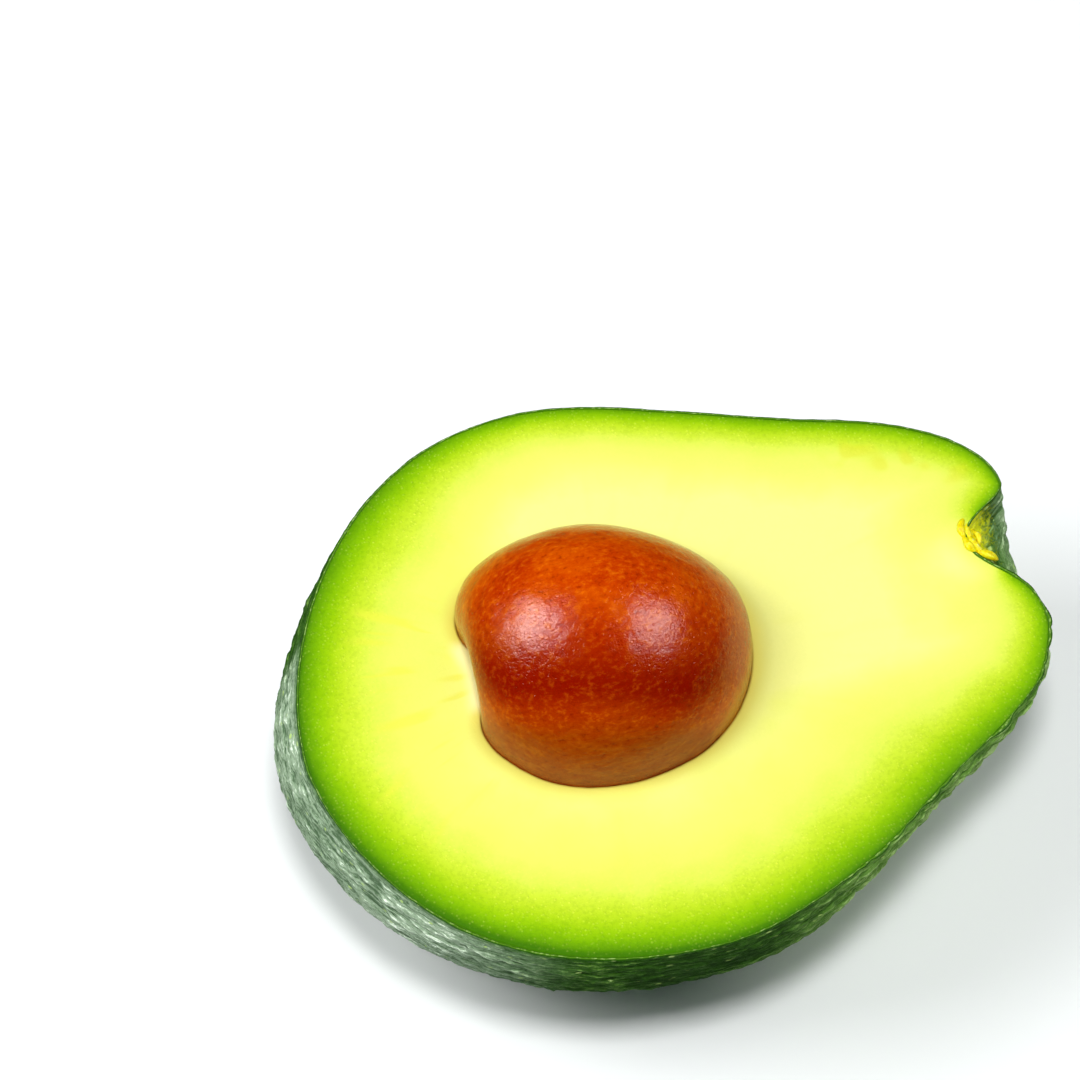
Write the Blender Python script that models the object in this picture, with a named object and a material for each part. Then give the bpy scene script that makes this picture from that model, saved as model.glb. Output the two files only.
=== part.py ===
"""Half an avocado with its seed, lying on its peel with the cut face level and up.

Metres, +Z up. +X runs to the stem end, and the origin is on the surface that the fruit
lies on, under the middle of its box. The half is modelled in the fruit's own frame, with
x from the blossom end along the axis and the cut face at z = 0, and one empty sets it down.
"""
import math

import bmesh
import bpy
from mathutils import Matrix, Vector
from mathutils.geometry import interpolate_bezier

# --- driving dimensions of the cut fruit ------------------------------------------
CUT_LENGTH = 0.1000        # blossom end to the tips of the two stem-end lobes
WIDEST_AT = 0.0421         # along the axis, where the fruit is widest
WIDEST_RADIUS = 0.0415
SHOULDER_AT = 0.0797       # where the neck turns into the stem end
SHOULDER_RADIUS = 0.0274
SHOULDER_SLOPE = math.radians(24)
LOBE_RADIUS = 0.0102       # of the ring that stands round the stem pit
PIT_DEPTH = 0.0070
BLOSSOM_HANDLE = 0.0135    # Bezier handles of the profile, by the point they leave
BELLY_HANDLES = (0.0300, 0.0136)
SHOULDER_HANDLES = (0.0111, 0.0045)
LOBE_HANDLES = (0.0090, 0.0050)
PIT_HANDLE = (0.0010, 0.0030)
PEEL = 0.0010              # peel thickness
GAP = 0.0003               # between pieces that touch
FLAT_CUT = 0.0008          # how much the belly is pressed flat where it rests

# --- how the fruit leaves a turned shape --------------------------------------------
NOSE_LEAN = 0.44           # the blossom end swells out past the cut, per depth
NOSE_REACH = 0.060
BELLY_LEAN = 0.35          # the blossom end tucks in under its -Y side, per depth
BELLY_REACH = 0.036
SIDE_LEAN = 0.14           # the neck swells to the -Y side, per depth
SIDE_FROM, SIDE_TO = 0.045, 0.085
SWAY = 0.0007              # the axis wanders sideways by this much
SWAY_START, SWAY_LENGTH = 0.015, 0.060
STEM_SKEW = 0.07           # the stem end is not square to the axis
SKEW_FROM, SKEW_TO = 0.060, 0.100
PIT_SIDE = 0.0022          # the pit lies to the +Y side of the axis
PIT_FROM, PIT_TO = 0.088, 0.092

# --- seed ---------------------------------------------------------------------------
SEED_AT = Vector((0.0409, 0.0023, 0.0004))
SEED_RADII = Vector((0.0198, 0.0180, 0.0183))
SEED_TURN = math.radians(-21)
DENT_TURN = math.radians(171)
DENT_DEPTH = 0.0040
DENT_SIZE = 0.0056

# --- stem scar, a corky plug in the bottom of the pit -------------------------------
SCAR_RADIUS = 0.0026
SCAR_BACK = 0.0024         # how far the plug reaches into the flesh
SCAR_CROWN = 0.0006        # how far it stands up in the pit
SCAR_HANDLES = (0.8, 0.4)  # of its domed face, as parts of its radius

# --- fineness -------------------------------------------------------------------------
TURN_STEPS = 30            # round the half turn
BELLY_STEPS = 10
NECK_STEPS = 6
LOBE_STEPS = 6
PIT_STEPS = 6
SCAR_STEPS = 4
SEED_DIVISIONS = 4
MERGE = 1e-6
FLAT_ANGLE = math.radians(0.05)
SMOOTH_ANGLE = math.radians(35)


def ramp(value, start, end):
    """0 before start, 1 after end, and straight between them."""
    return min(max((value - start) / (end - start), 0.0), 1.0)


def clear_scene():
    for item in list(bpy.context.scene.objects):
        bpy.data.objects.remove(item, do_unlink=True)


def material(name, colour, roughness):
    made = bpy.data.materials.new(name)
    made.use_nodes = True
    shader = made.node_tree.nodes["Principled BSDF"]
    shader.inputs["Base Color"].default_value = (*colour, 1.0)
    shader.inputs["Roughness"].default_value = roughness
    shader.inputs["Metallic"].default_value = 0.0
    made.diffuse_color = (*colour, 1.0)
    return made


# --- the profile of the fruit, as (x, radius) ------------------------------------------
def bezier(start, start_handle, end_handle, end, steps):
    """Points of one Bezier piece, without its first point."""
    knots = [Vector((x, r, 0.0)) for x, r in (start, start_handle, end_handle, end)]
    return [Vector((p.x, p.y)) for p in interpolate_bezier(*knots, steps + 1)[1:]]


def skin_profile():
    """Blossom end, belly, neck, lobe and pit, down to the axis at the pit's bottom."""
    blossom = Vector((0.0, 0.0))
    widest = Vector((WIDEST_AT, WIDEST_RADIUS))
    shoulder = Vector((SHOULDER_AT, SHOULDER_RADIUS))
    lobe = Vector((CUT_LENGTH, LOBE_RADIUS))
    pit = Vector((CUT_LENGTH - PIT_DEPTH, 0.0))
    along = Vector((1.0, 0.0))
    out = Vector((0.0, 1.0))
    fall = Vector((math.cos(SHOULDER_SLOPE), -math.sin(SHOULDER_SLOPE)))
    points = [blossom]
    points += bezier(blossom, blossom + BLOSSOM_HANDLE * out,
                     widest - BELLY_HANDLES[0] * along, widest, BELLY_STEPS)
    points += bezier(widest, widest + BELLY_HANDLES[1] * along,
                     shoulder - SHOULDER_HANDLES[0] * fall, shoulder, NECK_STEPS)
    points += bezier(shoulder, shoulder + SHOULDER_HANDLES[1] * fall,
                     lobe + LOBE_HANDLES[0] * out, lobe, LOBE_STEPS)
    points += bezier(lobe, lobe - LOBE_HANDLES[1] * out, pit + Vector(PIT_HANDLE), pit, PIT_STEPS)
    return points


def inset_profile(points, inset):
    """The same profile, moved inward by inset, with its ends kept on the axis."""
    moved = []
    for i, point in enumerate(points):
        before = points[max(i - 1, 0)]
        after = points[min(i + 1, len(points) - 1)]
        along = (after - before).normalized()
        if i == 0:
            along = Vector((0.0, 1.0))
        if i == len(points) - 1:
            along = Vector((0.0, -1.0))
        moved.append(point + inset * Vector((along.y, -along.x)))
    return moved


def open_at(points, radius):
    """The profile, ended in the pit at radius instead of on the axis."""
    last = max(i for i, point in enumerate(points) if point.y > radius)
    inner, outer = points[last + 1], points[last]
    part = (outer.y - radius) / (outer.y - inner.y)
    return points[:last + 1] + [outer.lerp(inner, part)]


# --- from the turned shape to the grown one ---------------------------------------------
def grown(point):
    """Where a point of the turned body lies in the real, slightly crooked fruit."""
    x, y, z = point
    radius = math.hypot(y, z)
    nose = max(1.0 - x / NOSE_REACH, 0.0) ** 2
    belly = max(1.0 - x / BELLY_REACH, 0.0) ** 2
    side = ramp(x, SIDE_FROM, SIDE_TO)
    pit = ramp(x, PIT_FROM, PIT_TO) * max(1.0 - (radius / LOBE_RADIUS) ** 2, 0.0)
    sway = SWAY * math.sin(math.tau * (x - SWAY_START) / SWAY_LENGTH)
    new_y = y + (SIDE_LEAN * side - BELLY_LEAN * belly) * z + sway + PIT_SIDE * pit
    new_x = x + NOSE_LEAN * z * nose + STEM_SKEW * new_y * ramp(x, SKEW_FROM, SKEW_TO)
    return Vector((new_x, new_y, z))


def turned_body(profile, half_turns, inset=None):
    """The profile turned below the cut, or all round, then grown and pressed flat."""
    bm = bmesh.new()
    line = [bm.verts.new((p.x, p.y, 0.0)) for p in profile]
    edges = [bm.edges.new(pair) for pair in zip(line, line[1:])]
    bmesh.ops.spin(bm, geom=line + edges, cent=(0, 0, 0), axis=(-1, 0, 0), angle=half_turns * math.pi,
                   steps=half_turns * TURN_STEPS, use_merge=False, use_duplicate=False)
    bmesh.ops.remove_doubles(bm, verts=bm.verts, dist=MERGE)
    for vert in bm.verts:
        vert.co = grown(vert.co)
        if abs(vert.co.z) < MERGE:
            vert.co.z = 0.0
    if inset is not None:
        press_flat(bm, -(WIDEST_RADIUS - FLAT_CUT - inset))
    bmesh.ops.holes_fill(bm, edges=[edge for edge in bm.edges if edge.is_boundary], sides=0)
    return bm


def press_flat(bm, level):
    """Flatten everything below level, with an edge along the flat spot's outline."""
    everything = bm.verts[:] + bm.edges[:] + bm.faces[:]
    bmesh.ops.bisect_plane(bm, geom=everything, dist=MERGE, plane_co=(0, 0, level), plane_no=(0, 0, 1))
    for vert in bm.verts:
        vert.co.z = max(vert.co.z, level)
    bmesh.ops.dissolve_limit(bm, angle_limit=FLAT_ANGLE, verts=bm.verts, edges=[
        edge for edge in bm.edges if all(v.co.z < level + MERGE for v in edge.verts)])


def finish(name, bm, look, parent):
    """Turn a closed bmesh into a smooth-shaded object."""
    bmesh.ops.recalc_face_normals(bm, faces=bm.faces)
    mesh = bpy.data.meshes.new(name)
    bm.to_mesh(mesh)
    bm.free()
    mesh.shade_smooth()
    mesh.set_sharp_from_angle(angle=SMOOTH_ANGLE)
    if look:
        mesh.materials.append(look)
    made = bpy.data.objects.new(name, mesh)
    bpy.context.collection.objects.link(made)
    made.parent = parent
    return made


# --- the pieces -----------------------------------------------------------------------------
def cut_away(target, cutter):
    """Take the cutter's shape out of the target, and keep the cutter out of sight."""
    cutter.hide_render = True
    cutter.display_type = "WIRE"
    cut = target.modifiers.new(cutter.name, "BOOLEAN")
    cut.operation = "DIFFERENCE"
    cut.solver = "EXACT"
    cut.object = cutter


def make_peel(look, parent):
    """A thin shell, open at the cut face and at the stem scar."""
    profile = skin_profile()
    peel = finish("peel", turned_body(profile, 1, 0.0), look, parent)
    opening = SCAR_RADIUS + GAP
    hollow = open_at(inset_profile(profile, PEEL), opening)
    hollow += [Vector((CUT_LENGTH, opening)), Vector((CUT_LENGTH, 0.0))]
    cut_away(peel, finish("peel_hollow_cutter", turned_body(hollow, 2, PEEL), None, parent))
    return peel


def make_flesh(look, parent):
    """The flesh inside the peel, flat at the cut, with a seat for the seed and the scar."""
    seat = SCAR_RADIUS + GAP
    seat_at = CUT_LENGTH - PIT_DEPTH - SCAR_BACK - GAP
    profile = open_at(inset_profile(skin_profile(), PEEL + GAP), seat)
    profile += [Vector((seat_at, seat)), Vector((seat_at, 0.0))]
    flesh = finish("flesh", turned_body(profile, 1, PEEL + GAP), look, parent)
    seed_seat = finish("seed_seat_cutter", seed_mesh(GAP), None, parent)
    seed_seat.location = SEED_AT
    cut_away(flesh, seed_seat)


def seed_mesh(gap):
    """An egg-shaped seed with one dent, grown outward by gap."""
    bm = bmesh.new()
    bmesh.ops.create_icosphere(bm, subdivisions=SEED_DIVISIONS, radius=1.0)
    turn = Matrix.Rotation(SEED_TURN, 4, "Z") @ Matrix.Diagonal((*SEED_RADII, 1.0))
    bmesh.ops.transform(bm, matrix=turn, verts=bm.verts)
    outward = Vector((math.cos(DENT_TURN), math.sin(DENT_TURN), 0.0))
    dent_at = outward * SEED_RADII.x
    for vert in bm.verts:
        near = (vert.co - dent_at).length / DENT_SIZE
        vert.co -= outward * DENT_DEPTH * math.exp(-near * near)
    bm.normal_update()
    pushes = [(vert, vert.normal * gap) for vert in bm.verts]
    for vert, push in pushes:
        vert.co += push
    return bm


def make_seed(look, parent):
    seed = finish("seed", seed_mesh(0.0), look, parent)
    seed.location = SEED_AT


def make_stem_scar(look, parent):
    """Half of a small corky plug, domed where it shows in the pit."""
    back = CUT_LENGTH - PIT_DEPTH - SCAR_BACK
    face = CUT_LENGTH - PIT_DEPTH
    rim = Vector((face, SCAR_RADIUS))
    crown = Vector((face + SCAR_CROWN, 0.0))
    handles = [Vector((crown.x, SCAR_RADIUS * share)) for share in SCAR_HANDLES]
    dome = bezier(rim, *handles, crown, SCAR_STEPS)
    profile = [Vector((back, 0.0)), Vector((back, SCAR_RADIUS)), rim] + dome
    finish("stem_scar", turned_body(profile, 1), look, parent)


def set_down(empty, skin):
    """Move the fruit so that the origin is under the middle of its box, on the flat spot."""
    xs = [vert.co.x for vert in skin.data.vertices]
    ys = [vert.co.y for vert in skin.data.vertices]
    empty.location = (-(min(xs) + max(xs)) / 2, -(min(ys) + max(ys)) / 2, WIDEST_RADIUS - FLAT_CUT)


def main():
    clear_scene()
    fruit = bpy.data.objects.new("avocado_half", None)
    bpy.context.collection.objects.link(fruit)
    peel = make_peel(material("peel_skin", (0.020, 0.075, 0.018), 0.38), fruit)
    make_flesh(material("ripe_flesh", (0.80, 0.87, 0.18), 0.45), fruit)
    make_seed(material("seed_coat", (0.42, 0.085, 0.012), 0.25), fruit)
    make_stem_scar(material("scar_cork", (0.55, 0.36, 0.03), 0.75), fruit)
    set_down(fruit, peel)
    bpy.context.view_layer.update()


main()
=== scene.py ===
"""The looks of a halved avocado: peel, flesh, seed and stem scar as detailed meshes.

Metres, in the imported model's frame: +X to the stem end, +Z up out of the cut face. Shapes are
worked out in the fruit's own frame, x from the blossom end along the axis and the cut face at
z = 0, and placed once at the end.
"""

import math

import bpy
import numpy as np
from mathutils import Matrix, Vector
from mathutils.kdtree import KDTree


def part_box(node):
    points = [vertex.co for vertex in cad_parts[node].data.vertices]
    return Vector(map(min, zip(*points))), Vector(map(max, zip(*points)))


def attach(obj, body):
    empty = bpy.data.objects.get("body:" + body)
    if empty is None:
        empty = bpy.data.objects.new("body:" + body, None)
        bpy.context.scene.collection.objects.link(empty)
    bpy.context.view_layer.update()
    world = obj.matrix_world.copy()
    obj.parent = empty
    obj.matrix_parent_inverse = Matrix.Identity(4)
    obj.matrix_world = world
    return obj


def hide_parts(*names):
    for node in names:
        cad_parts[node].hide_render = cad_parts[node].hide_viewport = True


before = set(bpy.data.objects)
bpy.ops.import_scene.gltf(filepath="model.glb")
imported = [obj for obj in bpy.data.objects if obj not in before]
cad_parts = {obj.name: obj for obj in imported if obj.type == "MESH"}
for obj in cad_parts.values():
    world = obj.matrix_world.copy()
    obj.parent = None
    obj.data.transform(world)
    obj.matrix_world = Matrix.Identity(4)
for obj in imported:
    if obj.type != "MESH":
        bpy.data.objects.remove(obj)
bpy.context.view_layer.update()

MM = 0.001

# --- the fruit's shape, as in the CAD model -----------------------------------------------
CUT_LENGTH = 100.0 * MM
WIDEST = (42.1 * MM, 41.5 * MM)
SHOULDER = (79.7 * MM, 27.4 * MM)
SHOULDER_SLOPE = math.radians(24)
LOBE_RADIUS = 10.2 * MM
PIT_DEPTH = 7.0 * MM
BLOSSOM_HANDLE = 13.5 * MM
BELLY_HANDLES = (30.0 * MM, 13.6 * MM)
SHOULDER_HANDLES = (11.1 * MM, 4.5 * MM)
LOBE_HANDLES = (9.0 * MM, 5.0 * MM)
NOSE_LEAN, NOSE_REACH = 0.44, 60.0 * MM
BELLY_LEAN, BELLY_REACH = 0.35, 36.0 * MM
SIDE_LEAN, SIDE_FROM, SIDE_TO = 0.14, 45.0 * MM, 85.0 * MM
SWAY, SWAY_START, SWAY_LENGTH = 0.7 * MM, 15.0 * MM, 60.0 * MM
STEM_SKEW, SKEW_FROM, SKEW_TO = 0.07, 60.0 * MM, 100.0 * MM
PIT_FROM, PIT_TO = 88.0 * MM, 92.0 * MM
SEED_AT = np.array((40.9, 2.3, 0.4)) * MM
SEED_RADII = np.array((19.8, 18.0, 18.3)) * MM
SEED_TURN = math.radians(-21)
DENT_TURN = math.radians(171)
DENT_DEPTH, DENT_SIZE = 4.1 * MM, 6.3 * MM

# --- where the looks follow the photo more closely than the CAD ---------------------------------
PIT_HANDLE = (0.3 * MM, 4.2 * MM)
PIT_SIDE = 2.9 * MM
PIT_BOTTOM = np.array((93.3, 3.6, 0.0)) * MM
PEEL = 0.42 * MM           # thickness seen at the cut
FLARE, FLARE_DEPTH = 1.1 * MM, 8.0 * MM     # of the rim on the near side of the neck
FLARE_START, FLARE_END = (55.0 * MM, 72.0 * MM), (94.0 * MM, 100.0 * MM)    # fades along x
FLARE_SIDE = (8.0 * MM, 16.0 * MM)          # fades in from the axis outward
FLARE_ALONG = 0.4          # how much of it also moves the rim along x

# --- what the looks add -----------------------------------------------------------------------
DIP_START, DIP_ROOM = 0.12, 0.16            # mm; dips in the peel level out within their sum
EDGE_BULGE = 0.10 * MM     # of the cut edge of the peel
SEAT_GAP = 0.05 * MM       # between seed and flesh
BLUSH = np.array(((80.6, 22.3, 0.0), (94.8, 14.5, 0.0))) * MM     # ends of a yellower patch
BLUSH_WIDTH = 2.4 * MM
LIP_SPREAD, LIP_RISE = 0.28, 0.45           # the pale lip in the seed's dent, its cream partly the flesh's own and partly a painted highlight: radians, mm
VEINED_SIDE = math.radians(172)             # about the seed, towards the blossom end
LOWER_SIDE = math.radians(-125)             # where the green under the peel is deepest
PROFILE_ROWS = 331
SKIN_COLUMNS = 277         # round the half turn, outside
CROWDING = 0.45            # how much closer the columns stand by the cut than underneath
LINING_COLUMNS = 17        # round the half turn, where the peel meets the flesh
EDGE_ROWS = 5              # across the cut edge of the peel
FACE_ROWS = 110            # across the cut flesh
SEAT_ROWS = 22             # down the seed's seat


# --- small tools --------------------------------------------------------------------------------
def smooth(value, start, end):
    """0 before start, 1 after end, and an even S between them."""
    part = np.clip((value - start) / (end - start), 0.0, 1.0)
    return part * part * (3.0 - 2.0 * part)


def hashed(cells, seed):
    """A number from 0 to 1 for each whole-number point, the same on every run."""
    mixed = np.full(cells.shape[:-1], (seed * 2654435761) % 2**32, np.uint64)
    for axis, prime in enumerate((73856093, 19349663, 83492791)):
        mixed ^= (cells[..., axis].astype(np.int64) * prime).astype(np.uint64) & np.uint64(0xFFFFFFFF)
        mixed = (mixed * np.uint64(2246822519)) & np.uint64(0xFFFFFFFF)
        mixed ^= mixed >> np.uint64(15)
    mixed = (mixed * np.uint64(3266489917)) & np.uint64(0xFFFFFFFF)
    mixed ^= mixed >> np.uint64(13)
    return mixed.astype(float) / 2.0**32


def cloud(points, size, seed):
    """Smooth noise from -1 to 1, with lumps about size across."""
    scaled = points / size
    low = np.floor(scaled).astype(np.int64)
    part = scaled - low
    part = part * part * (3.0 - 2.0 * part)
    total = np.zeros(points.shape[:-1])
    for corner in np.ndindex(2, 2, 2):
        weight = np.prod(np.where(np.array(corner), part, 1.0 - part), axis=-1)
        total += weight * hashed(low + np.array(corner), seed)
    return 2.0 * total - 1.0


def cells(points, size, seed):
    """Distances to the nearest and next nearest of scattered centres, in units of size."""
    scaled = points / size
    low = np.floor(scaled).astype(np.int64)
    nearest = np.full(points.shape[:-1], 9.0)
    second = np.full(points.shape[:-1], 9.0)
    for step in np.ndindex(3, 3, 3):
        cell = low + np.array(step) - 1
        centre = cell + np.stack([hashed(cell, seed + axis) for axis in range(3)], axis=-1)
        gap = np.linalg.norm(scaled - centre, axis=-1)
        second = np.minimum(second, np.maximum(nearest, gap))
        nearest = np.minimum(nearest, gap)
    return nearest, second


def bezier(start, start_handle, end_handle, end, count):
    part = np.linspace(0.0, 1.0, count)[:, None]
    rest = 1.0 - part
    return (rest**3 * start + 3 * rest**2 * part * start_handle
            + 3 * rest * part**2 * end_handle + part**3 * end)


def even(points, count):
    """The same line with count points, evenly spaced along it."""
    steps = np.linalg.norm(np.diff(points, axis=0), axis=1)
    along = np.concatenate(([0.0], np.cumsum(steps)))
    wanted = np.linspace(0.0, along[-1], count)
    return np.stack([np.interp(wanted, along, points[:, i]) for i in range(points.shape[1])], axis=1)


# --- the fruit's surface ----------------------------------------------------------------------
def skin_profile(rows):
    """(x, radius) from the blossom end over belly, neck and lobe to the pit's bottom."""
    along, out = np.array((1.0, 0.0)), np.array((0.0, 1.0))
    fall = np.array((math.cos(SHOULDER_SLOPE), -math.sin(SHOULDER_SLOPE)))
    blossom, widest, shoulder = np.zeros(2), np.array(WIDEST), np.array(SHOULDER)
    lobe = np.array((CUT_LENGTH, LOBE_RADIUS))
    pit = np.array((CUT_LENGTH - PIT_DEPTH, 0.0))
    pieces = (
        (blossom, blossom + BLOSSOM_HANDLE * out, widest - BELLY_HANDLES[0] * along, widest),
        (widest, widest + BELLY_HANDLES[1] * along, shoulder - SHOULDER_HANDLES[0] * fall, shoulder),
        (shoulder, shoulder + SHOULDER_HANDLES[1] * fall, lobe + LOBE_HANDLES[0] * out, lobe),
        (lobe, lobe - LOBE_HANDLES[1] * out, pit + np.array(PIT_HANDLE), pit))
    dense = np.concatenate([bezier(*piece, 200)[1:] for piece in pieces])
    return even(np.concatenate(([blossom], dense)), rows)


def inset(profile, distance):
    """The profile moved inward, with its ends kept on the axis."""
    along = np.gradient(profile, axis=0)
    along[0], along[-1] = (0.0, 1.0), (0.0, -1.0)
    along /= np.linalg.norm(along, axis=1)[:, None]
    moved = profile + distance * np.stack([along[:, 1], -along[:, 0]], axis=1)
    moved[[0, -1], 1] = 0.0
    return moved


def grown(points):
    """From the turned body to the slightly crooked fruit."""
    x, y, z = points[..., 0], points[..., 1], points[..., 2]
    radius = np.hypot(y, z)
    nose = np.maximum(1.0 - x / NOSE_REACH, 0.0) ** 2
    belly = np.maximum(1.0 - x / BELLY_REACH, 0.0) ** 2
    side = np.clip((x - SIDE_FROM) / (SIDE_TO - SIDE_FROM), 0.0, 1.0)
    pit = np.clip((x - PIT_FROM) / (PIT_TO - PIT_FROM), 0.0, 1.0)
    pit = pit * np.maximum(1.0 - (radius / LOBE_RADIUS) ** 2, 0.0)
    sway = SWAY * np.sin(math.tau * (x - SWAY_START) / SWAY_LENGTH)
    new_y = y + (SIDE_LEAN * side - BELLY_LEAN * belly) * z + sway + PIT_SIDE * pit
    skew = STEM_SKEW * new_y * np.clip((x - SKEW_FROM) / (SKEW_TO - SKEW_FROM), 0.0, 1.0)
    neck = smooth(x, *FLARE_START) * (1.0 - smooth(x, *FLARE_END))
    flare = FLARE * neck * smooth(-y, *FLARE_SIDE) * (1.0 - smooth(-z, 0.0, FLARE_DEPTH))
    new_x = x + NOSE_LEAN * z * nose + skew + FLARE_ALONG * flare
    return np.stack([new_x, new_y - flare, z], axis=-1)


def half_surface(profile, columns):
    """A grid of rows along the profile and columns from +Y under the fruit to -Y."""
    turn = np.linspace(0.0, math.pi, columns)
    turn = turn - CROWDING * np.sin(2.0 * turn) / 2.0
    x = np.repeat(profile[:, :1], columns, axis=1)
    return grown(np.stack([x, profile[:, 1:] * np.cos(turn), -profile[:, 1:] * np.sin(turn)], axis=-1))


def normals(grid):
    """Unit normals of a grid, out of the fruit."""
    down, across = np.gradient(grid, axis=0), np.gradient(grid, axis=1)
    out = np.cross(down, across)
    length = np.linalg.norm(out, axis=-1, keepdims=True)
    out = np.where(length > 1e-12, out / np.maximum(length, 1e-12), 0.0)
    out[0], out[-1] = (-1.0, 0.0, 0.0), (1.0, 0.0, 0.0)
    return out


def skin_relief(points):
    """Height of the peel's lumps, scales and wrinkles over the plain surface, in millimetres."""
    warp = np.stack([cloud(points, 5.0 * MM, seed) for seed in (11, 12, 13)], axis=-1)
    drawn = points + 0.8 * MM * warp
    lying = drawn * np.array((0.42, 0.42, 1.25))
    strand = np.maximum(1.0 - np.abs(cloud(lying, 1.5 * MM, 71)) * 2.2, 0.0)
    strand = strand + 0.5 * cloud(lying, 3.1 * MM, 72)
    scale, scale_next = cells(drawn * np.array((0.62, 0.62, 1.05)), 2.3 * MM, 21)
    pebble, pebble_next = cells(drawn, 1.6 * MM, 31)
    scales = (1.0 - smooth(scale, 0.1, 0.8)) - 0.45 * (1.0 - smooth(scale_next - scale, 0.0, 0.28))
    pebbles = (1.0 - smooth(pebble, 0.1, 0.8)) - 0.5 * (1.0 - smooth(pebble_next - pebble, 0.0, 0.25))
    neck = smooth(points[..., 0], 42.0 * MM, 74.0 * MM)
    near = 1.0 - smooth(points[..., 1], -14.0 * MM, 2.0 * MM)
    depth = smooth(-points[..., 2], 0.0, 3.0 * MM)
    rough = (0.30 + 0.70 * neck * near) * (0.2 + 0.8 * np.maximum(depth, 0.7 * neck * near))
    wrinkled = (1.0 - smooth(-points[..., 2], 20.0 * MM, 32.0 * MM)) * (0.2 + 0.8 * depth)
    lumps = 0.20 * cloud(points, 13.0 * MM, 41) + 0.10 * cloud(points, 6.0 * MM, 42)
    height = lumps * (0.4 + 0.6 * depth)
    height = height + 0.55 * rough * scales + 0.11 * pebbles * (0.3 + 0.7 * depth)
    height = height + 0.19 * (strand - 0.4) * wrinkled - 0.08
    dip = np.maximum(-DIP_START - height, 0.0)
    return height + dip - DIP_ROOM * np.tanh(dip / DIP_ROOM)


# --- meshes ---------------------------------------------------------------------------------------
def grid_faces(numbers):
    """Quads of a grid of vertex numbers; a quad that meets a pole becomes a triangle."""
    a, b = numbers[:-1, :-1].ravel(), numbers[:-1, 1:].ravel()
    c, d = numbers[1:, 1:].ravel(), numbers[1:, :-1].ravel()
    faces = []
    for quad in zip(a.tolist(), b.tolist(), c.tolist(), d.tolist()):
        kept = [v for i, v in enumerate(quad) if v != quad[i - 1]]
        if len(kept) > 2:
            faces.append(kept)
    return faces


class Shape:
    """Vertices and faces gathered into one mesh, with numbers kept per vertex."""

    def __init__(self):
        self.points, self.faces, self.slots, self.values = [], [], [], {}
        self.count = 0

    def add(self, points, **values):
        """Add a grid of points and return the grid of their numbers."""
        flat = points.reshape(-1, 3)
        self.points.append(flat)
        for name, value in values.items():
            told = np.broadcast_to(value, points.shape[:-1]).ravel()
            self.values.setdefault(name, []).append((self.count, told))
        numbers = np.arange(self.count, self.count + len(flat)).reshape(points.shape[:-1])
        self.count += len(flat)
        return numbers

    def skin(self, numbers, slot=0, flip=False):
        """Lay faces over a grid of numbers; flip turns them to face the other way."""
        made = grid_faces(numbers[:, ::-1] if flip else numbers)
        self.faces += made
        self.slots += [slot] * len(made)

    def build(self, name, materials):
        mesh = bpy.data.meshes.new(name)
        points = np.concatenate(self.points) + PLACE
        used = np.unique(np.concatenate([np.array(face) for face in self.faces]))
        renumber = np.full(self.count, -1)
        renumber[used] = np.arange(len(used))
        faces = [[int(renumber[v]) for v in face] for face in self.faces]
        mesh.from_pydata(points[used].tolist(), [], faces)
        mesh.polygons.foreach_set("material_index", self.slots)
        mesh.shade_smooth()
        for key, parts in self.values.items():
            whole = np.zeros(self.count)
            for start, told in parts:
                whole[start:start + len(told)] = told
            mesh.attributes.new(key, "FLOAT", "POINT").data.foreach_set("value", whole[used])
        for look in materials:
            mesh.materials.append(look)
        mesh.update()
        made = bpy.data.objects.new(name, mesh)
        bpy.context.scene.collection.objects.link(made)
        return made


def one_pole(numbers):
    """Give every row end that lies on the axis one shared vertex."""
    numbers = numbers.copy()
    numbers[0, :] = numbers[0, 0]
    numbers[-1, :] = numbers[-1, 0]
    return numbers


def place_of_fruit():
    """What moves the fruit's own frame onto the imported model's."""
    low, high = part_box("peel")
    plain = half_surface(skin_profile(PROFILE_ROWS), 61)
    middle = (plain.min((0, 1)) + plain.max((0, 1))) / 2
    return np.array(((low.x + high.x) / 2 - middle[0], (low.y + high.y) / 2 - middle[1], high.z))


def lining_surface(profile):
    """Where the peel meets the flesh, kept the peel's thickness above the resting flat."""
    surface = half_surface(profile, LINING_COLUMNS)
    surface[..., 2] = np.maximum(surface[..., 2], PEEL - PLACE[2])
    return surface


def make_peel(materials):
    """The outside with its lumps, the cut edge and a plain lining against the flesh."""
    profile = skin_profile(PROFILE_ROWS)
    outer = half_surface(profile, SKIN_COLUMNS)
    relief = skin_relief(outer)
    ends = np.clip(np.minimum(profile[:, 1], LOBE_RADIUS) / (3.0 * MM), 0.0, 1.0)[:, None]
    outer = outer + normals(outer) * (MM * relief * ends)[..., None]
    outer[:, [0, -1], 2] = 0.0
    outer[..., 2] = np.clip(outer[..., 2], -PLACE[2], 0.0)
    lining = lining_surface(inset(profile, PEEL))
    shape = Shape()
    skin = one_pole(shape.add(outer, height=relief, edge=0.0))
    back = one_pole(shape.add(lining, edge=1.0))
    shape.skin(skin, flip=True)
    shape.skin(back, slot=1)
    parts = np.linspace(0.0, 1.0, EDGE_ROWS)
    for side, flip in ((0, False), (-1, True)):
        rows = [skin[:, side]]
        for part in parts[1:-1]:
            across = (1 - part) * outer[:, side] + part * lining[:, side]
            across[:, 2] = EDGE_BULGE * math.sin(math.pi * part)
            numbers = shape.add(across, edge=part)
            rows.append(numbers)
        rows.append(back[:, side])
        strip = np.stack(rows, axis=1)
        if side == 0:
            first = strip.copy()
        else:
            strip[[0, -1]] = first[[0, -1]]
        shape.skin(strip, slot=1, flip=flip)
    return shape.build("avocado_peel", materials)


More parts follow.
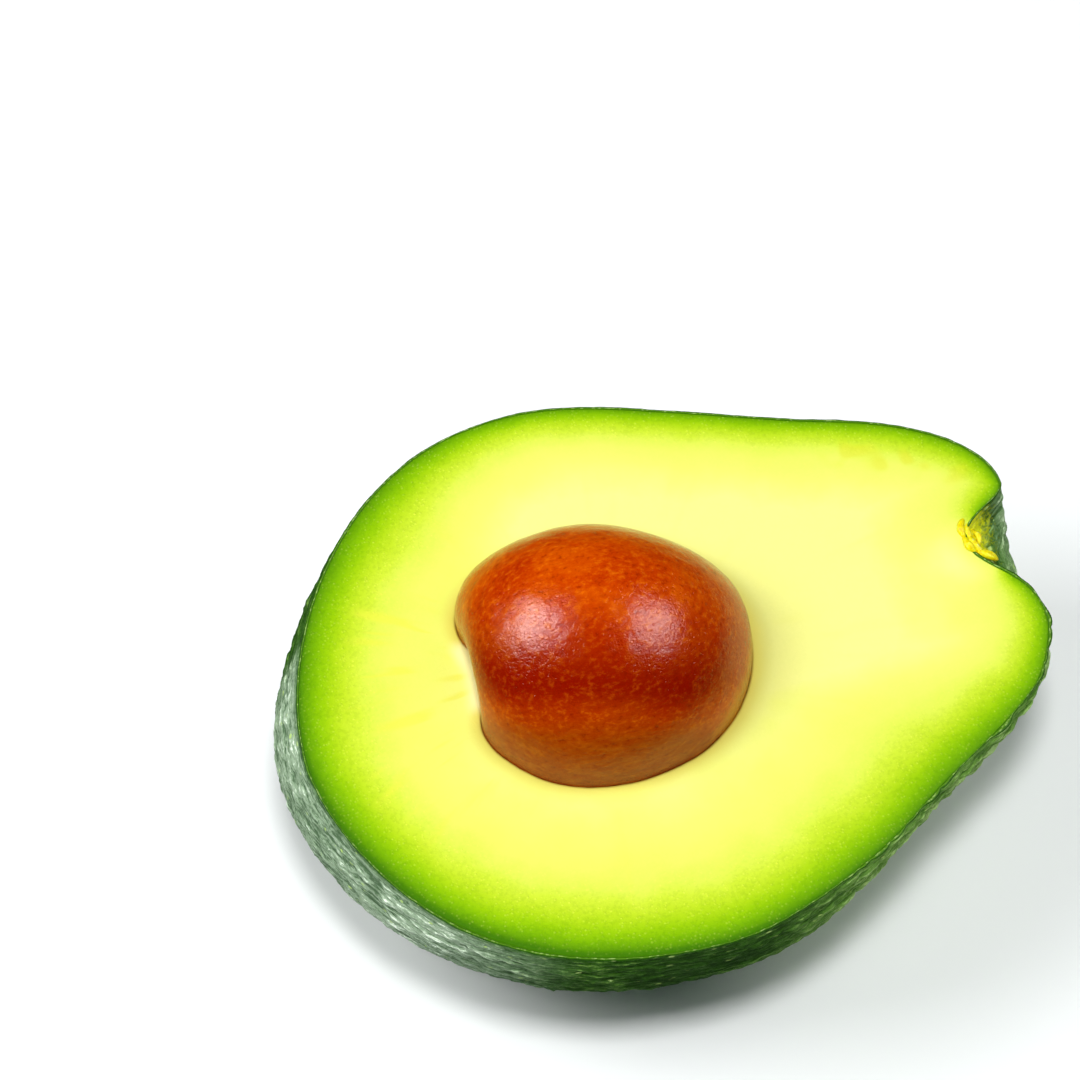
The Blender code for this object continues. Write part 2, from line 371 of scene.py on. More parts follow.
# where the seed stands out from or stays within a plain egg: direction, millimetres, spread
SEED_LOBES = (
    ((0.97, 0.10, 0.23), 0.95, 0.40), ((-0.65, 0.72, 0.23), 1.1, 0.42), ((0.50, 0.72, 0.48), -0.5, 0.40),
    ((-0.99, 0.13, 0.0), -0.8, 0.34), ((-0.44, -0.90, 0.05), 0.5, 0.45))


def seed_surface(directions, gap=0.0):
    """Points of the dented, faintly wavy seed for unit directions from its middle."""
    local = directions @ np.array(Matrix.Rotation(SEED_TURN, 3, "Z"))
    points = local * SEED_RADII @ np.array(Matrix.Rotation(-SEED_TURN, 3, "Z"))
    outward = np.array((math.cos(DENT_TURN), math.sin(DENT_TURN), 0.0))
    near = np.linalg.norm(points - outward * SEED_RADII[0], axis=-1) / DENT_SIZE
    points = points - outward * (DENT_DEPTH * np.exp(-near * near))[..., None]
    wave = 0.16 * cloud(points, 11.0 * MM, 61) + 0.07 * cloud(points, 4.0 * MM, 62)
    wave = wave + 0.04 * cloud(points, 1.4 * MM, 63) - 0.06
    for way, height, spread in SEED_LOBES:
        gone = np.linalg.norm(directions - np.array(way), axis=-1) / spread
        wave = wave + height * np.exp(-gone * gone)
    return points + directions * (gap + MM * wave)[..., None] + SEED_AT


def green_depth(from_rim, turn, points):
    """How far under the peel the colour has come, where 30 is the palest yellow."""
    upper = smooth(turn, -0.62, -0.02) * (1.0 - smooth(turn, 1.30, 2.20))
    lower = np.cos((turn - LOWER_SIDE) / 2.0) ** 6
    factor = 1.0 + 1.15 * upper + 0.14 * lower
    pit = np.linalg.norm(points - PIT_BOTTOM - np.array((0.0, -1.5 * MM, 0.0)), axis=-1) / MM
    factor = factor + 6.0 * np.exp(-(pit / 5.5) ** 2)
    under = from_rim / MM * factor + 14.0 * np.exp(-(pit / 4.6) ** 4)
    return under + 1.1 - 1.15 * lower + 0.3 * upper


def patch(points, ends, width):
    """1 on the line between two ends, fading over a width."""
    along = ends[1] - ends[0]
    share = np.clip((points - ends[0]) @ along / (along @ along), 0.0, 1.0)
    gap = np.linalg.norm(points - ends[0] - share[..., None] * along, axis=-1)
    return np.exp(-(gap / width) ** 2)


def make_flesh(materials):
    """The cut face from the peel to the seed, the seed's seat and the side under the peel."""
    profile = inset(skin_profile(PROFILE_ROWS), PEEL)
    side = lining_surface(profile)
    rim = np.concatenate([side[:, 0], side[-2:0:-1, -1]])
    turn = np.arctan2(rim[:, 1] - SEED_AT[1], rim[:, 0] - SEED_AT[0])
    drop = np.full_like(turn, -SEED_AT[2] / SEED_RADII[2])
    flat = np.stack([np.cos(turn), np.sin(turn), drop], axis=1)
    foot = seed_surface(flat / np.linalg.norm(flat, axis=1)[:, None], SEAT_GAP)
    foot[:, 2] = 0.0
    part = np.linspace(0.0, 1.0, FACE_ROWS)[:, None, None]
    part = part - 0.35 * part * (1.0 - part) * (1.0 - 2.0 * part)
    face = rim * (1.0 - part) + foot * part
    tree = KDTree(len(rim))
    for i, point in enumerate(rim):
        tree.insert(point, i)
    tree.balance()
    from_rim = np.array([tree.find(p)[2] for p in face.reshape(-1, 3)]).reshape(face.shape[:2])
    from_seed = np.linalg.norm(face - foot, axis=-1)
    green = green_depth(from_rim, turn[None, :], face)
    wave = 0.07 * cloud(face, 9.0 * MM, 51) + 0.03 * cloud(face, 2.6 * MM, 52)
    ring = 0.22 * np.exp(-((from_seed / (1.2 * MM)) - 1.0) ** 2)
    ring = ring - 0.10 * np.exp(-(from_seed / (0.3 * MM)) ** 2)
    bite = np.angle(np.exp(1j * (turn - DENT_TURN)))[None, :]
    lip = np.exp(-(bite / LIP_SPREAD) ** 4) * np.exp(-(from_seed / (2.6 * MM)) ** 2)
    around = np.stack([np.cos(turn), np.sin(turn), np.zeros_like(turn)], axis=1)
    veins = np.maximum(cloud(around[None] + face * 6.0, 0.07, 53), 0.0) ** 2
    veins = veins + 0.6 * np.maximum(cloud(around[None] + face * 6.0, 0.03, 54), 0.0) ** 2
    veins = veins * smooth(from_rim, 3.0 * MM, 10.0 * MM) * smooth(from_seed, 0.5 * MM, 4.0 * MM)
    veins = veins * (0.12 + 0.88 * np.cos((turn - VEINED_SIDE) / 2.0) ** 16)[None, :]
    blush = patch(face, BLUSH, BLUSH_WIDTH) * (0.6 + 0.8 * cloud(face, 1.8 * MM, 55))
    fall = -0.06 * np.exp(-(from_rim / (0.4 * MM)) ** 2)
    held = smooth(from_rim, 0.0, 0.8 * MM)
    face[..., 2] = MM * ((wave + LIP_RISE * lip) * held + ring * (1.0 - 0.8 * lip) + fall)
    face[0, :, 2] = 0.0
    shape = Shape()
    top = shape.add(face, green=green, seed=from_seed / MM, lip=lip, veins=veins, blush=blush)
    under = shape.add(side, green=0.0, seed=50.0, lip=0.0)
    under[:, 0] = top[0, :PROFILE_ROWS]
    under[-2:0:-1, -1] = top[0, PROFILE_ROWS:]
    under[[0, -1], :] = under[[0, -1], :1]
    shape.skin(under, flip=True)
    closed = np.concatenate([top, top[:, :1]], axis=1)
    shape.skin(closed, flip=True)
    sink = np.linspace(0.0, 1.0, SEAT_ROWS)[1:, None]
    tilt = sink * math.pi / 2
    low = np.stack([np.cos(turn) * np.cos(tilt), np.sin(turn) * np.cos(tilt),
                    -np.sin(tilt) * np.ones_like(turn)], axis=-1)
    seat = shape.add(seed_surface(low, SEAT_GAP), green=30.0, seed=0.0, lip=0.0)
    seat[-1, :] = seat[-1, 0]
    seat = np.concatenate([top[-1:], seat])
    shape.skin(np.concatenate([seat, seat[:, :1]], axis=1), flip=True)
    return shape.build("avocado_flesh", materials)


# start, middle and end of each fibre from the pit's bottom, and its thickness, in millimetres
SCAR_FIBRES = (
    ((0.9, 3.6, -0.5), (-0.3, 2.2, 0.0), (-0.2, 0.4, -0.3), 0.60),
    ((-0.3, 1.0, -0.3), (-0.3, -0.6, 0.1), (0.5, -2.0, -0.4), 0.60),
    ((1.2, 3.0, -1.0), (0.4, 1.7, -0.3), (0.5, 0.1, -0.8), 0.60),
    ((0.7, 0.8, -1.0), (0.4, -0.5, -0.2), (1.3, -2.2, -0.9), 0.62),
    ((1.2, 1.4, -0.8), (1.6, 0.3, -0.4), (0.9, -0.9, -0.9), 0.40),
    ((1.1, 2.7, -1.8), (1.1, 0.9, -1.5), (1.3, -1.2, -2.0), 0.75),
    ((0.6, -1.6, -0.6), (1.5, -2.6, -0.2), (2.8, -3.6, -0.8), 0.45),
    ((1.3, -1.4, -1.2), (2.2, -2.4, -1.0), (3.1, -3.2, -1.7), 0.48),
)


def tube(shape, line, radius, sides=10):
    """A closed fibre along a line of points, thinning to both ends."""
    line = even(line, 26)
    along = np.gradient(line, axis=0)
    along /= np.linalg.norm(along, axis=1)[:, None]
    side = np.cross(along, (0.3, 0.2, 0.93))
    side /= np.linalg.norm(side, axis=1)[:, None]
    other = np.cross(along, side)
    turn = np.linspace(0.0, math.tau, sides, endpoint=False)
    share = np.linspace(0.0, 1.0, len(line))
    width = radius * np.sqrt(np.clip(4.0 * share * (1.0 - share), 0.0, 1.0))
    width = width * (1.0 + 0.25 * cloud(line, 0.9 * MM, 81))
    ring = np.cos(turn)[None, :, None] * side[:, None] + np.sin(turn)[None, :, None] * other[:, None]
    numbers = one_pole(shape.add(line[:, None] + width[:, None, None] * ring))
    shape.skin(np.concatenate([numbers, numbers[:, :1]], axis=1))


def make_scar(materials):
    """Torn golden fibres curling in the bottom of the pit."""
    shape = Shape()
    for start, bend, end, radius in SCAR_FIBRES:
        points = [PIT_BOTTOM + MM * np.array(p) for p in (start, bend, end)]
        middle = 2.0 * points[1] - (points[0] + points[2]) / 2.0
        share = np.linspace(0.0, 1.0, 30)[:, None]
        line = (1 - share) ** 2 * points[0] + 2 * share * (1 - share) * middle + share**2 * points[2]
        tube(shape, line, radius * MM)
    return shape.build("avocado_stem_scar", materials)


SEED_SHADE_TO_LIT = np.array((0.32, 0.83, 0.46))    # from the seed's lower side, painted darker brown as shade, to its orange one
SEED_GOLD = np.array((0.45, 0.89, 0.0))     # to the side where its foot is golden, partly a painted reflection of the yellow flesh
BAND_AT, BAND_SPREAD = -0.20, (0.44, 0.24)  # of the dark red band between them, partly the seed's own colour and partly painted shade


def make_seed(materials, rings=170, segments=240):
    """The whole seed, slightly wrinkled, with its dent."""
    tilt = np.linspace(-math.pi / 2, math.pi / 2, rings)[:, None]
    turn = np.linspace(0.0, math.tau, segments, endpoint=False)
    ways = np.stack([np.cos(turn) * np.cos(tilt), np.sin(turn) * np.cos(tilt),
                     np.sin(tilt) * np.ones_like(turn)], axis=-1)
    points = seed_surface(ways)
    up = ways @ SEED_SHADE_TO_LIT
    # the dark red band: partly the seed's own colour, partly painted shade
    band = np.exp(-((up - BAND_AT) / np.where(up > BAND_AT, *BAND_SPREAD)) ** 2)
    band = band * smooth(ways[..., 2], 0.15, 0.6)
    # painted shade: the seed's lower side darker brown
    low = 1.0 - smooth(up, -0.62, -0.30)
    # golden foot: partly the seed's own colour, partly a painted reflection of the yellow flesh
    rim = 1.0 - smooth(ways[..., 2], 0.06, 0.38)
    rim = rim * smooth(ways @ SEED_GOLD, -0.75, -0.25)
    shape = Shape()
    numbers = one_pole(shape.add(points, band=band, low=low, rim=rim))
    shape.skin(np.concatenate([numbers, numbers[:, :1]], axis=1))
    return shape.build("avocado_seed", materials)


# --- materials ------------------------------------------------------------------------------------
LIGHT = 1.27               # brightness of a white surface lying level in the studio


def linear(red, green, blue):
    """The linear colour that looks like this display colour, 0 to 255, under the studio light."""
    def one(value):
        value /= 255.0
        value = value / 12.92 if value <= 0.04045 else ((value + 0.055) / 1.055) ** 2.4
        return value / LIGHT
    return (one(red), one(green), one(blue), 1.0)


def node(tree, kind, inputs=None, **settings):
    made = tree.nodes.new("ShaderNode" + kind)
    for key, value in settings.items():
        setattr(made, key, value)
    for key, value in (inputs or {}).items():
        if isinstance(value, bpy.types.NodeSocket):
            tree.links.new(value, made.inputs[key])
        else:
            made.inputs[key].default_value = value
    return made


def attribute(tree, name):
    """A number kept per vertex of the mesh."""
    return node(tree, "Attribute", attribute_name=name).outputs["Fac"]


def math_node(tree, operation, *values):
    return node(tree, "Math", dict(enumerate(values)), operation=operation).outputs[0]


def mix(tree, factor, first, second, blend="MIX"):
    made = node(tree, "Mix", {0: factor, 6: first, 7: second}, data_type="RGBA", blend_type=blend)
    return made.outputs[2]


def fit(tree, value, low, high, new_low=0.0, new_high=1.0):
    made = node(tree, "MapRange", {"Value": value, "From Min": low, "From Max": high,
                                   "To Min": new_low, "To Max": new_high},
                interpolation_type="SMOOTHSTEP")
    return made.outputs[0]


def ramp(tree, value, stops):
    made = node(tree, "ValToRGB", {0: value})
    elements = made.color_ramp.elements
    while len(elements) < len(stops):
        elements.new(0.5)
    for element, (position, colour) in zip(elements, stops):
        element.position = position
        element.color = colour
    return made.outputs[0]


def millimetres(tree, stretch=(1.0, 1.0, 1.0)):
    """The piece's own coordinates in millimetres, stretched along each axis."""
    place = node(tree, "TexCoord").outputs["Object"]
    scale = [1.0 / (MM * s) for s in stretch]
    return node(tree, "Mapping", {"Vector": place, "Scale": scale}).outputs[0]


def noise(tree, where, scale, detail=3.0, roughness=0.5):
    return node(tree, "TexNoise", {"Vector": where, "Scale": scale, "Detail": detail,
                                   "Roughness": roughness}).outputs["Fac"]


def start_material(name, **inputs):
    made = bpy.data.materials.new(name)
    made.use_nodes = True
    shader = made.node_tree.nodes["Principled BSDF"]
    for key, value in inputs.items():
        shader.inputs[key.replace("_", " ")].default_value = value
    return made, made.node_tree, shader


def bump(tree, height, strength, distance, under=None):
    inputs = {"Height": height, "Strength": strength, "Distance": distance * MM}
    if under is not None:
        inputs["Normal"] = under
    return node(tree, "Bump", inputs).outputs[0]


WALLS = 0.42               # light on the fruit's sides, beside that on a level surface


def on_walls(red, green, blue):
    """The linear colour that looks like this display colour on the fruit's sides."""
    colour = linear(red, green, blue)
    return tuple(value / WALLS for value in colour[:3]) + (1.0,)


# where the painted grey sheen, a reflection of the pale floor painted into the colour, fades: from and
# to in millimetres in the model's frame, and the shares
SHEEN_END = (-42.0, -23.0, 1.0, 0.0)         # along X, from the blossom end
SHEEN_SIDE = (12.0, 19.0, 1.0, 0.0)          # along Y, towards the hidden side
SHEEN_NECK = (48.0, 52.0, 0.0, 0.6)          # along X, at the stem end
SHEEN_RIM = (39.6, 40.5, 1.0, 0.35)          # along Z, up to the cut


def from_point(tree, point):
    """Distance in millimetres from a point given in the fruit's own frame."""
    place = node(tree, "TexCoord").outputs["Object"]
    gap = node(tree, "VectorMath", {0: place, 1: Vector(point + PLACE)}, operation="DISTANCE")
    return math_node(tree, "DIVIDE", gap.outputs["Value"], MM)


def skin_material():
    """Dark green, scaled and wrinkled, with a painted grey sheen on the blossom half, painted shade in
    the creases, painted sheen on the ridges and pale flecks.
    """
    made, tree, shader = start_material("peel_skin", Roughness=0.4)
    plain = millimetres(tree)
    lying = millimetres(tree, (3.0, 3.0, 0.5))
    place = node(tree, "SeparateXYZ", {0: plain})
    height = attribute(tree, "height")
    broad = noise(tree, plain, 0.09, 3.0)
    fine = noise(tree, plain, 1.9, 4.0, 0.65)
    thread = noise(tree, lying, 0.95, 4.0, 0.66)
    walls = fit(tree, place.outputs["Z"], 8.0, 20.0)
    thread = math_node(tree, "MULTIPLY_ADD", math_node(tree, "SUBTRACT", thread, 0.5), walls, 0.5)
    top = math_node(tree, "ADD", height, math_node(tree, "MULTIPLY_ADD", thread, 2.6, -1.3))
    top = math_node(tree, "ADD", top, math_node(tree, "MULTIPLY_ADD", fine, 1.1, -0.55))
    # painted sheen: a grey reflection of the pale floor painted into the colour, on the blossom half and
    # partly at the neck
    painted_sheen = fit(tree, place.outputs["X"], *SHEEN_END)
    painted_sheen = math_node(tree, "MULTIPLY", painted_sheen, fit(tree, place.outputs["Y"], *SHEEN_SIDE))
    painted_sheen = math_node(tree, "ADD", painted_sheen, fit(tree, place.outputs["X"], *SHEEN_NECK))
    painted_sheen = math_node(tree, "MULTIPLY", painted_sheen, fit(tree, place.outputs["Z"], *SHEEN_RIM))
    painted_sheen = math_node(tree, "MULTIPLY", painted_sheen, walls)
    scar = from_point(tree, PIT_BOTTOM)
    neck = fit(tree, place.outputs["X"], -2.0, 16.0)
    neck = math_node(tree, "MULTIPLY", neck, fit(tree, scar, 6.5, 10.0))
    green = mix(tree, fit(tree, broad, 0.3, 0.7), on_walls(30, 66, 6), on_walls(42, 80, 12))
    green = mix(tree, neck, green, on_walls(84, 122, 44))
    green = mix(tree, painted_sheen, green, on_walls(116, 136, 110))
    # painted shade: the creases of the relief darker
    dark = mix(tree, neck, on_walls(18, 46, 4), on_walls(46, 82, 20))
    dark = mix(tree, painted_sheen, dark, on_walls(44, 70, 40))
    green = mix(tree, fit(tree, top, -0.45, 0.05, 0.85, 0.0), green, dark)
    # painted sheen: the ridges of the relief lighter, near white where the painted grey sheen lies
    painted_ridge_sheen = mix(tree, neck, on_walls(104, 142, 60), on_walls(156, 186, 112))
    painted_ridge_sheen = mix(tree, painted_sheen, painted_ridge_sheen, on_walls(212, 224, 206))
    green = mix(tree, fit(tree, top, 0.10, 0.65, 0.0, 0.85), green, painted_ridge_sheen)
    scar = math_node(tree, "MULTIPLY", scar, fit(tree, fine, 0.3, 0.7, 0.8, 1.2))
    green = mix(tree, fit(tree, scar, 2.8, 7.0, 0.95, 0.0), green, on_walls(178, 182, 4))
    spots = node(tree, "TexVoronoi", {"Vector": millimetres(tree, (1.5, 1.2, 0.8)), "Scale": 0.62})
    size = fit(tree, spots.outputs["Color"], 0.2, 0.9, 0.02, 0.20)
    away = math_node(tree, "DIVIDE", spots.outputs["Distance"], size)
    away = math_node(tree, "ADD", away, math_node(tree, "MULTIPLY", fine, 1.1))
    fleck = fit(tree, away, 1.25, 1.75, 1.0, 0.0)
    green = mix(tree, math_node(tree, "MULTIPLY", fleck, 0.8), green, on_walls(140, 164, 92))
    tree.links.new(green, shader.inputs["Base Color"])
    tree.links.new(fit(tree, top, -0.3, 0.4, 0.55, 0.34), shader.inputs["Roughness"])
    tree.links.new(fit(tree, top, -0.3, 0.3, 0.08, 0.32), shader.inputs["Specular IOR Level"])
    out = bump(tree, thread, 0.9, 0.45)
    out = bump(tree, fine, 0.6, 0.22, out)
    out = bump(tree, fleck, 0.6, 0.08, out)
    tree.links.new(out, shader.inputs["Normal"])
    return made


def edge_material():
    """The cut edge of the peel: dark outside, then a broken pale line, then green."""
    made, tree, shader = start_material("peel_cut_edge", Roughness=0.45)
    where = millimetres(tree)
    part = attribute(tree, "edge")
    wander = noise(tree, where, 0.8, 3.0)
    part = math_node(tree, "ADD", part, math_node(tree, "MULTIPLY_ADD", wander, 0.6, -0.3))
    colour = ramp(tree, part, ((0.0, linear(36, 80, 6)), (0.30, linear(54, 104, 8)),
                               (0.56, linear(96, 144, 32)), (0.74, linear(64, 116, 4)),
                               (1.0, linear(62, 118, 0))))
    sparkle = noise(tree, where, 1.9, 2.0)
    band = math_node(tree, "MULTIPLY", fit(tree, part, 0.25, 0.5), fit(tree, part, 0.6, 0.85, 1.0, 0.0))
    pale = math_node(tree, "MULTIPLY", fit(tree, sparkle, 0.50, 0.66), band)
    colour = mix(tree, math_node(tree, "MULTIPLY", pale, 0.7), colour, linear(176, 208, 120))
    tree.links.new(colour, shader.inputs["Base Color"])
    tree.links.new(bump(tree, sparkle, 0.5, 0.12), shader.inputs["Normal"])
    shader.inputs["Specular IOR Level"].default_value = 0.08
    return made


FLESH_STOPS = (
    (0.0, (64, 120, 0)), (0.5, (66, 124, 0)), (0.9, (78, 136, 0)), (1.3, (96, 154, 0)),
    (2.3, (120, 178, 0)), (3.1, (138, 193, 0)), (4.1, (156, 206, 4)), (5.3, (178, 219, 20)),
    (6.7, (197, 229, 38)), (8.5, (213, 238, 58)), (10.6, (229, 245, 86)), (14.0, (240, 250, 104)),
    (20.0, (246, 252, 118)), (30.0, (254, 254, 148)))
RAMP_LENGTH = 30.0


def flesh_material():
    """Green under the peel, through lime, to pale yellow by the seed."""
    made, tree, shader = start_material("ripe_flesh", Roughness=0.5)
    where = millimetres(tree)
    green = attribute(tree, "green")
    seed = attribute(tree, "seed")
    lip = attribute(tree, "lip")
    soft = noise(tree, where, 0.16, 3.0)
    depth = math_node(tree, "MULTIPLY", green, fit(tree, soft, 0.25, 0.75, 0.93, 1.08))
    stops = [(mm / RAMP_LENGTH, linear(*colour)) for mm, colour in FLESH_STOPS]
    colour = ramp(tree, math_node(tree, "DIVIDE", depth, RAMP_LENGTH), stops)
    speck = node(tree, "TexVoronoi", {"Vector": where, "Scale": 2.1})
    dot = fit(tree, speck.outputs["Distance"], 0.10, 0.45, 1.0, 0.0)
    chosen = fit(tree, speck.outputs["Color"], 0.15, 0.85)
    zone = fit(tree, depth, 6.0, 14.0, 1.0, 0.10)
    zone = math_node(tree, "MULTIPLY", fit(tree, depth, 0.0, 1.0), zone)
    dot = math_node(tree, "MULTIPLY", math_node(tree, "MULTIPLY", dot, chosen), zone)
    lighter = mix(tree, 1.0, colour, (1.30, 1.20, 1.5, 1.0), "MULTIPLY")
    lighter = mix(tree, 0.16, lighter, linear(236, 248, 110))
    colour = mix(tree, math_node(tree, "MULTIPLY", dot, 0.85), colour, lighter)
    grit = noise(tree, where, 2.2, 3.0, 0.6)
    shade = math_node(tree, "MULTIPLY", fit(tree, grit, 0.56, 0.34, 0.0, 0.24), zone)
    colour = mix(tree, shade, colour, mix(tree, 1.0, colour, (0.45, 0.6, 0.3, 1.0), "MULTIPLY"))
    veins = attribute(tree, "veins")
    colour = mix(tree, fit(tree, veins, 0.0, 0.5, 0.0, 0.5), colour, linear(240, 240, 70))
    blush = attribute(tree, "blush")
    colour = mix(tree, fit(tree, blush, 0.2, 1.0, 0.0, 0.4), colour, linear(226, 222, 20))
    by_seed = fit(tree, seed, 0.2, 3.2, 1.0, 0.0)
    colour = mix(tree, math_node(tree, "MULTIPLY", by_seed, 0.8), colour, linear(236, 226, 100))
    # painted shade: a thin brown line where the flesh meets the seed
    painted_contact_shade = fit(tree, seed, 0.0, 0.35, 1.0, 0.0)
    colour = mix(tree, math_node(tree, "MULTIPLY", painted_contact_shade, 0.7), colour, linear(170, 120, 20))
    # the lip's cream: paler flesh, partly a painted highlight on its rounded top
    colour = mix(tree, fit(tree, lip, 0.12, 0.62, 0.0, 0.9), colour, linear(255, 253, 176))
    tree.links.new(colour, shader.inputs["Base Color"])
    grain = noise(tree, where, 1.7, 4.0, 0.6)
    tree.links.new(fit(tree, grain, 0.3, 0.7, 0.40, 0.60), shader.inputs["Roughness"])
    out = bump(tree, grain, 0.35, 0.07)
    out = bump(tree, dot, 0.6, 0.10, out)
    tree.links.new(out, shader.inputs["Normal"])
    shader.inputs["Specular IOR Level"].default_value = 0.05
    shader.inputs["Subsurface Weight"].default_value = 0.08
    shader.inputs["Subsurface Radius"].default_value = (1.0, 0.9, 0.35)
    shader.inputs["Subsurface Scale"].default_value = 1.0 * MM
    return made


def seed_material():
    """Glossy coat, orange to dark red and brown, finely mottled, golden at its foot; the brown lower
    side is painted shade, the dark red band partly painted shade and the golden foot partly a painted
    reflection of the flesh.
    """
    made, tree, shader = start_material("seed_coat", Roughness=0.2)
    where = millimetres(tree, (1.3, 1.0, 0.8))
    band = attribute(tree, "band")
    low = attribute(tree, "low")
    rim = attribute(tree, "rim")
    blotch = noise(tree, where, 0.14, 4.0, 0.6)
    mottle = noise(tree, where, 1.25, 5.0, 0.70)
    streaks = noise(tree, millimetres(tree, (4.0, 1.5, 1.0)), 0.9, 4.0, 0.6)
    colour = ramp(tree, blotch, ((0.30, linear(190, 46, 0)), (0.50, linear(208, 68, 0)),
                                 (0.70, linear(224, 92, 2))))
    # painted shade: darker brown on the seed's lower side
    colour = mix(tree, low, colour, linear(164, 58, 0))
    ochre = math_node(tree, "MULTIPLY", fit(tree, streaks, 0.42, 0.70), low)
    colour = mix(tree, math_node(tree, "MULTIPLY", ochre, 0.35), colour, linear(204, 106, 2))
    # the dark red band: partly the seed's own colour, partly painted shade
    colour = mix(tree, math_node(tree, "MULTIPLY", band, 0.95), colour, linear(138, 8, 0))
    calm = fit(tree, math_node(tree, "MAXIMUM", band, low), 0.0, 1.0, 0.6, 0.22)
    bright = math_node(tree, "MULTIPLY", fit(tree, mottle, 0.48, 0.72), calm)
    colour = mix(tree, bright, colour, linear(244, 122, 8))
    colour = mix(tree, fit(tree, mottle, 0.28, 0.47, 0.65, 0.0), colour, linear(128, 16, 0))
    # golden foot: partly the seed's own colour, partly a painted reflection of the yellow flesh
    edge = math_node(tree, "ADD", rim, math_node(tree, "MULTIPLY_ADD", streaks, 0.8, -0.4))
    colour = mix(tree, fit(tree, edge, 0.25, 0.95), colour, linear(216, 128, 0))
    tree.links.new(colour, shader.inputs["Base Color"])
    fine = noise(tree, where, 2.3, 3.0, 0.65)
    pits = node(tree, "TexVoronoi", {"Vector": where, "Scale": 1.6})
    pit = fit(tree, pits.outputs["Distance"], 0.10, 0.32)
    tree.links.new(fit(tree, mottle, 0.3, 0.7, 0.05, 0.12), shader.inputs["Roughness"])
    out = bump(tree, mottle, 0.50, 0.16)
    out = bump(tree, fine, 0.75, 0.07, out)
    out = bump(tree, pit, 0.50, 0.05, out)
    tree.links.new(out, shader.inputs["Normal"])
    shader.inputs["Specular IOR Level"].default_value = 0.38
    shader.inputs["Specular Tint"].default_value = (1.0, 0.90, 0.84, 1.0)
    return made


def scar_material():
    """Golden, fibrous cork."""
    made, tree, shader = start_material("scar_cork", Roughness=0.35)
    where = millimetres(tree)
    fine = noise(tree, where, 2.0, 4.0, 0.6)
    colour = ramp(tree, fine, ((0.28, linear(226, 180, 0)), (0.42, linear(255, 232, 0)),
                               (0.58, linear(255, 250, 20)), (0.76, linear(255, 255, 160))))
    shader.inputs["Specular IOR Level"].default_value = 0.25
    tree.links.new(colour, shader.inputs["Base Color"])
    tree.links.new(bump(tree, fine, 0.7, 0.25), shader.inputs["Normal"])
    return made


# --- stage ------------------------------------------------------------------------------------------
LOOK_AT = np.array((47.2, -4.35, 0.0)) * MM      # in the fruit's own frame
VIEW_TURN = math.radians(-21.0)
VIEW_RISE = math.radians(62.5)
VIEW_ROLL = math.radians(2.0)
VIEW_DISTANCE = 595.0 * MM
AIM_LEFT, AIM_UP = 15.7 * MM, 19.6 * MM          # the fruit stands right of and below the middle
LENS, SENSOR = 152.0, 36.0

LIGHTS = (
    # name, azimuth from -Y, elevation, distance, size, watts, what it lights
    ("left_key", -104.0, 50.0, 0.80, (0.40, 0.40), 4.8, "shade"),
    ("front_fill", -16.0, 74.5, 0.90, (0.12, 0.12), 5.4, "shade"),
    ("right_fill", 81.0, 55.0, 0.80, (0.50, 0.50), 1.8, "shade"),
    ("left_glint", -117.0, 46.0, 0.80, (0.30, 0.33), 7.4, "gloss"),
    ("right_glint", 81.0, 51.0, 0.80, (0.40, 0.32), 5.0, "gloss"))
FLOOR_SIZE = 6.0
FLOOR_COLOUR = (0.87, 0.885, 0.89, 1.0)
SKY_COLOUR, SKY_STRENGTH = (0.72, 0.90, 1.0, 1.0), 0.06


def direction(turn, rise):
    """From the fruit towards a point at that azimuth, 0 being -Y, and elevation."""
    return Vector((math.sin(turn) * math.cos(rise), -math.cos(turn) * math.cos(rise), math.sin(rise)))


def aimed(origin, target, roll=0.0):
    """A matrix at origin that looks at target."""
    back = (origin - target).normalized()
    right = Vector((0.0, 0.0, 1.0)).cross(back).normalized()
    up = back.cross(right)
    right, up = (right * math.cos(roll) + up * math.sin(roll),
                 up * math.cos(roll) - right * math.sin(roll))
    return Matrix.Translation(origin) @ Matrix((right, up, back)).transposed().to_4x4()


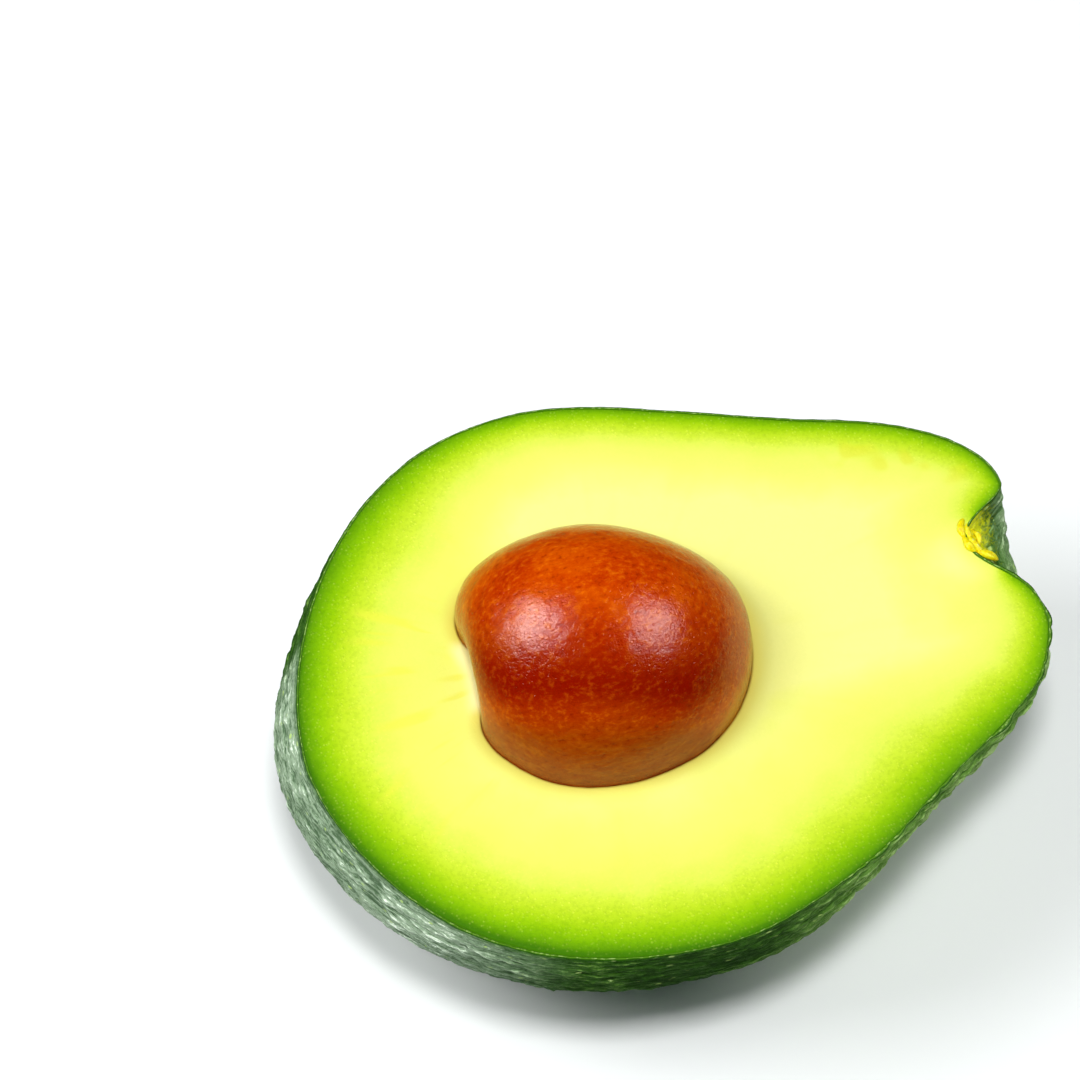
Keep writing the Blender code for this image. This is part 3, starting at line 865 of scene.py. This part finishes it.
def add_camera():
    """The photo's viewing angle, aimed beside the fruit without any lens shift."""
    data = bpy.data.cameras.new("camera")
    data.lens, data.sensor_width = LENS, SENSOR
    data.clip_start, data.clip_end = 0.01, 20.0
    camera = bpy.data.objects.new("camera", data)
    bpy.context.scene.collection.objects.link(camera)
    target = Vector(LOOK_AT + PLACE)
    origin = target + VIEW_DISTANCE * direction(VIEW_TURN, VIEW_RISE)
    axes = aimed(origin, target, VIEW_ROLL).to_3x3()
    aim = target - AIM_LEFT * axes.col[0] + AIM_UP * axes.col[1]
    turned = (origin - aim).normalized()
    up = axes.col[1] - axes.col[1].dot(turned) * turned
    up.normalize()
    right = up.cross(turned)
    camera.matrix_world = Matrix.Translation(origin) @ Matrix((right, up, turned)).transposed().to_4x4()
    bpy.context.scene.camera = camera


def add_light(name, turn, rise, distance, size, power):
    """An area light aimed at the seed."""
    data = bpy.data.lights.new(name, "AREA")
    data.shape = "RECTANGLE"
    data.size, data.size_y = size
    data.energy = power
    light = bpy.data.objects.new(name, data)
    bpy.context.scene.collection.objects.link(light)
    target = Vector(SEED_AT + PLACE)
    away = direction(math.radians(turn), math.radians(rise))
    light.matrix_world = aimed(target + distance * away, target)
    return light


def add_stage():
    """A pale floor, a faint sky, and lights for the colours apart from those for the gloss."""
    bpy.ops.mesh.primitive_plane_add(size=FLOOR_SIZE, location=(0.0, 0.0, 0.0))
    floor = bpy.context.object
    floor.name = "floor"
    look, tree, shader = start_material("floor_white", Roughness=0.6)
    shader.inputs["Base Color"].default_value = FLOOR_COLOUR
    floor.data.materials.append(look)
    floor.visible_glossy = False
    world = bpy.data.worlds.new("studio")
    world.use_nodes = True
    sky = world.node_tree.nodes["Background"]
    sky.inputs["Color"].default_value = SKY_COLOUR
    sky.inputs["Strength"].default_value = SKY_STRENGTH
    world.cycles_visibility.glossy = False
    bpy.context.scene.world = world
    for name, turn, rise, distance, size, power, seen in LIGHTS:
        light = add_light(name, turn, rise, distance, size, power)
        light.visible_glossy, light.visible_diffuse = seen == "gloss", seen != "gloss"


# --- the scene ------------------------------------------------------------------------------------
PLACE = place_of_fruit()
bpy.context.scene.view_settings.view_transform = "Standard"

skin_look, edge_look = skin_material(), edge_material()
peel = make_peel([skin_look, edge_look])
flesh = make_flesh([flesh_material()])
seed = make_seed([seed_material()])
scar = make_scar([scar_material()])
for piece, cad_node, slot in ((peel, "peel", "peel_skin"), (flesh, "flesh", "ripe_flesh"),
                              (seed, "seed", "seed_coat"), (scar, "stem_scar", "scar_cork")):
    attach(piece, "root")
    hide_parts(cad_node)

add_camera()
add_stage()
